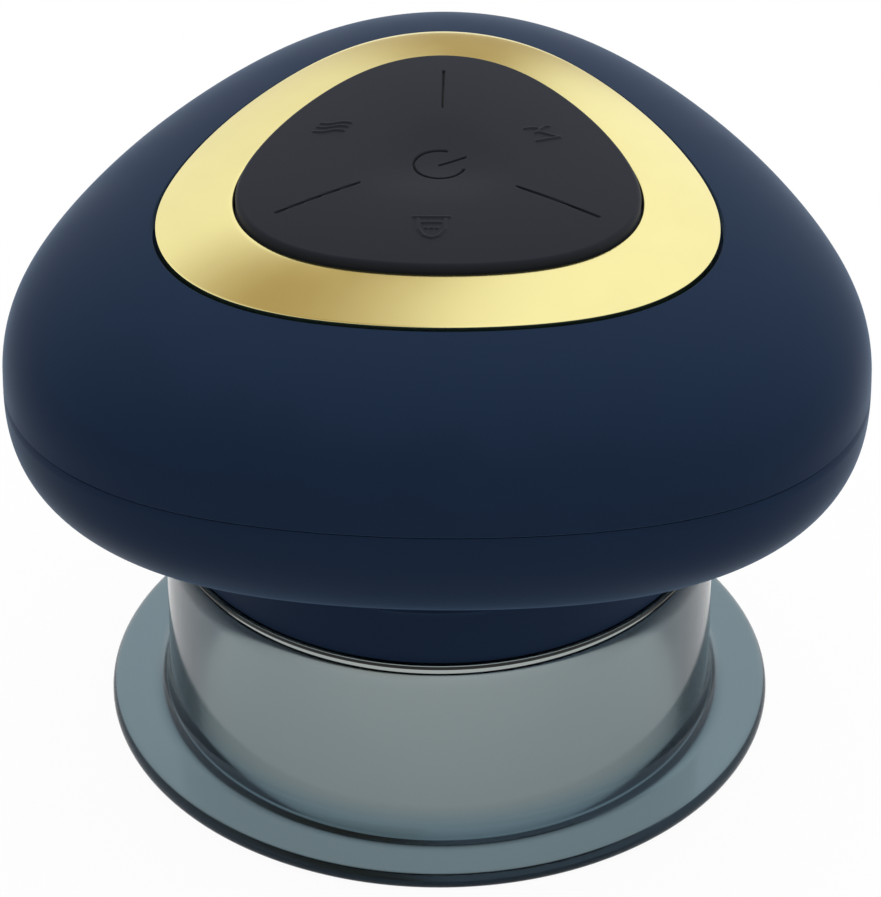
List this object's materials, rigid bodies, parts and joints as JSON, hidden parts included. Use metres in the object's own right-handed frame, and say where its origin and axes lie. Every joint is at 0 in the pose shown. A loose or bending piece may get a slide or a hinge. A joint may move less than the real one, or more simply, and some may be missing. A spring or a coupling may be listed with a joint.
{
  "type": "electric cupping massager",
  "caption": "Handheld cupping massager: three-lobed navy head with gold-ringed keypad and inner suction pump, on a clear flanged cup.",
  "frame": {"origin": "under the middle of the head's plan, on the plane of the cup's mouth; the cup's axis stands 4.02 mm ahead of it, at y = -0.00402", "axes": "+Z along the cup's axis to the keypad, +Y to the back lobe with the charging socket, X across the head"},
  "size_m": [0.0898, 0.0882, 0.068],
  "materials": {
    "navy_shell": "soft-touch paint",
    "gold_trim": "anodised gold",
    "charcoal_silicone": "matte",
    "smoke_clear": "clear, smoke-tinted",
    "black_seal": "matte",
    "black_abs": "moulded",
    "grey_abs": "moulded",
    "ribbon": "flat flexible cable",
    "diffuser": "frosted",
    "heater_metal": "brushed",
    "film": "film",
    "board": "solder mask",
    "steel": "plated",
    "ferrite": "sintered",
    "copper": "enamelled winding",
    "brass": "turned",
    "cell_wrap": "wrap",
    "foam": "foam",
    "black_rubber": "matte",
    "clear_silicone": "translucent",
    "lead": "insulated lead"
  },
  "bodies": {
    "cup": {"cup": "smoke_clear"},
    "head": {"top_shell": "navy_shell", "lower_shell": "navy_shell", "trim_ring": "gold_trim", "keypad_frame": "charcoal_silicone", "cup_seal": "black_seal", "base_plate": "black_abs", "motor_end_cap": "black_abs", "pump_housing": "black_abs", "pump_head": "black_abs", "valve_port": "black_abs", "usb_tongue": "black_abs", "temperature_sensor": "black_abs", "chassis": "grey_abs", "pump_rocker": "grey_abs", "pump_valve_plate": "grey_abs", "hose_tee": "grey_abs", "ribbon_cable": "ribbon", "light_ring": "diffuser", "heater_plate": "heater_metal", "heater_film": "film", "main_board": "board", "led_board": "board", "charge_board": "board", "shell_screw_1": "steel", "shell_screw_2": "steel", "shell_screw_3": "steel", "base_screw_1": "steel", "base_screw_2": "steel", "base_screw_3": "steel", "pump_screw_1": "steel", "pump_screw_2": "steel", "port_filter": "steel", "motor_can": "steel", "valve_frame": "steel", "valve_spring": "steel", "usb_socket": "steel", "motor_magnet": "ferrite", "valve_coil": "copper", "battery": "cell_wrap", "battery_pad": "foam", "pump_sleeve": "black_rubber", "pump_diaphragm": "black_rubber", "port_hose": "clear_silicone", "pump_hose": "clear_silicone", "valve_hose": "clear_silicone", "motor_lead": "lead"},
    "pump_rotor": {"motor_shaft": "steel", "motor_armature": "steel", "motor_commutator": "copper", "pump_eccentric": "brass"},
    "release_plunger": {"valve_plunger": "steel"},
    "power_button": {"power_key": "charcoal_silicone", "power_switch_button": "black_abs"},
    "heat_button": {"heat_key": "charcoal_silicone", "heat_switch_button": "black_abs"},
    "scrape_button": {"scrape_key": "charcoal_silicone", "scrape_switch_button": "black_abs"},
    "suction_button": {"suction_key": "charcoal_silicone", "suction_switch_button": "black_abs"}
  },
  "joints": [
    {"name": "head_lift", "type": "slide", "parent": "cup", "child": "head", "axis": [0, 0, 1], "range_m": [0, 0.03]},
    {"name": "pump_spin", "type": "hinge", "parent": "head", "child": "pump_rotor", "pos_m": [0, -0.00162, 0.043], "axis": [1, 0, 0], "continuous": true},
    {"name": "valve_release", "type": "slide", "parent": "head", "child": "release_plunger", "axis": [-1, 0, 0], "range_m": [0, 0.0012], "stiffness_N_per_m": 200, "springref_m": -0.001},
    {"name": "power_press", "type": "slide", "parent": "head", "child": "power_button", "axis": [0, 0, -1], "range_m": [0, 0.0003], "stiffness_N_per_m": 3000, "springref_m": -0.0001},
    {"name": "heat_press", "type": "slide", "parent": "head", "child": "heat_button", "axis": [0, 0, -1], "range_m": [0, 0.0003], "stiffness_N_per_m": 3000, "springref_m": -0.0001},
    {"name": "scrape_press", "type": "slide", "parent": "head", "child": "scrape_button", "axis": [0, 0, -1], "range_m": [0, 0.0003], "stiffness_N_per_m": 3000, "springref_m": -0.0001},
    {"name": "suction_press", "type": "slide", "parent": "head", "child": "suction_button", "axis": [0, 0, -1], "range_m": [0, 0.0003], "stiffness_N_per_m": 3000, "springref_m": -0.0001}
  ]
}
